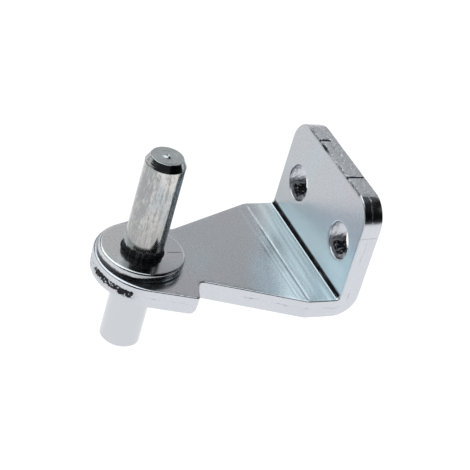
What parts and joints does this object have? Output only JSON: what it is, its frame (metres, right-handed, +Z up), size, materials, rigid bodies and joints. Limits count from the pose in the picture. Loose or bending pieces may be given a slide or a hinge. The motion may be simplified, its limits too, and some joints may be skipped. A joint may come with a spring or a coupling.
{
  "type": "refrigerator door hinge",
  "caption": "Bent steel bracket with a straight pin through its lug and a loose washer that carries the door; the flange screws to the cabinet.",
  "frame": {"origin": "on the pin's axis at the top of the washer, where the door sits", "axes": "+Z up the pin, +X from the pin to the flange, +Y along the flange"},
  "size_m": [0.0369, 0.0246, 0.0322],
  "materials": {
    "bracket_zinc": "satin bright zinc plating",
    "pin_steel": "turned and bright plated",
    "washer_zinc": "satin bright zinc plating"
  },
  "bodies": {
    "root": {"bracket": "bracket_zinc", "hinge_pin": "pin_steel", "washer": "washer_zinc"}
  },
  "joints": []
}
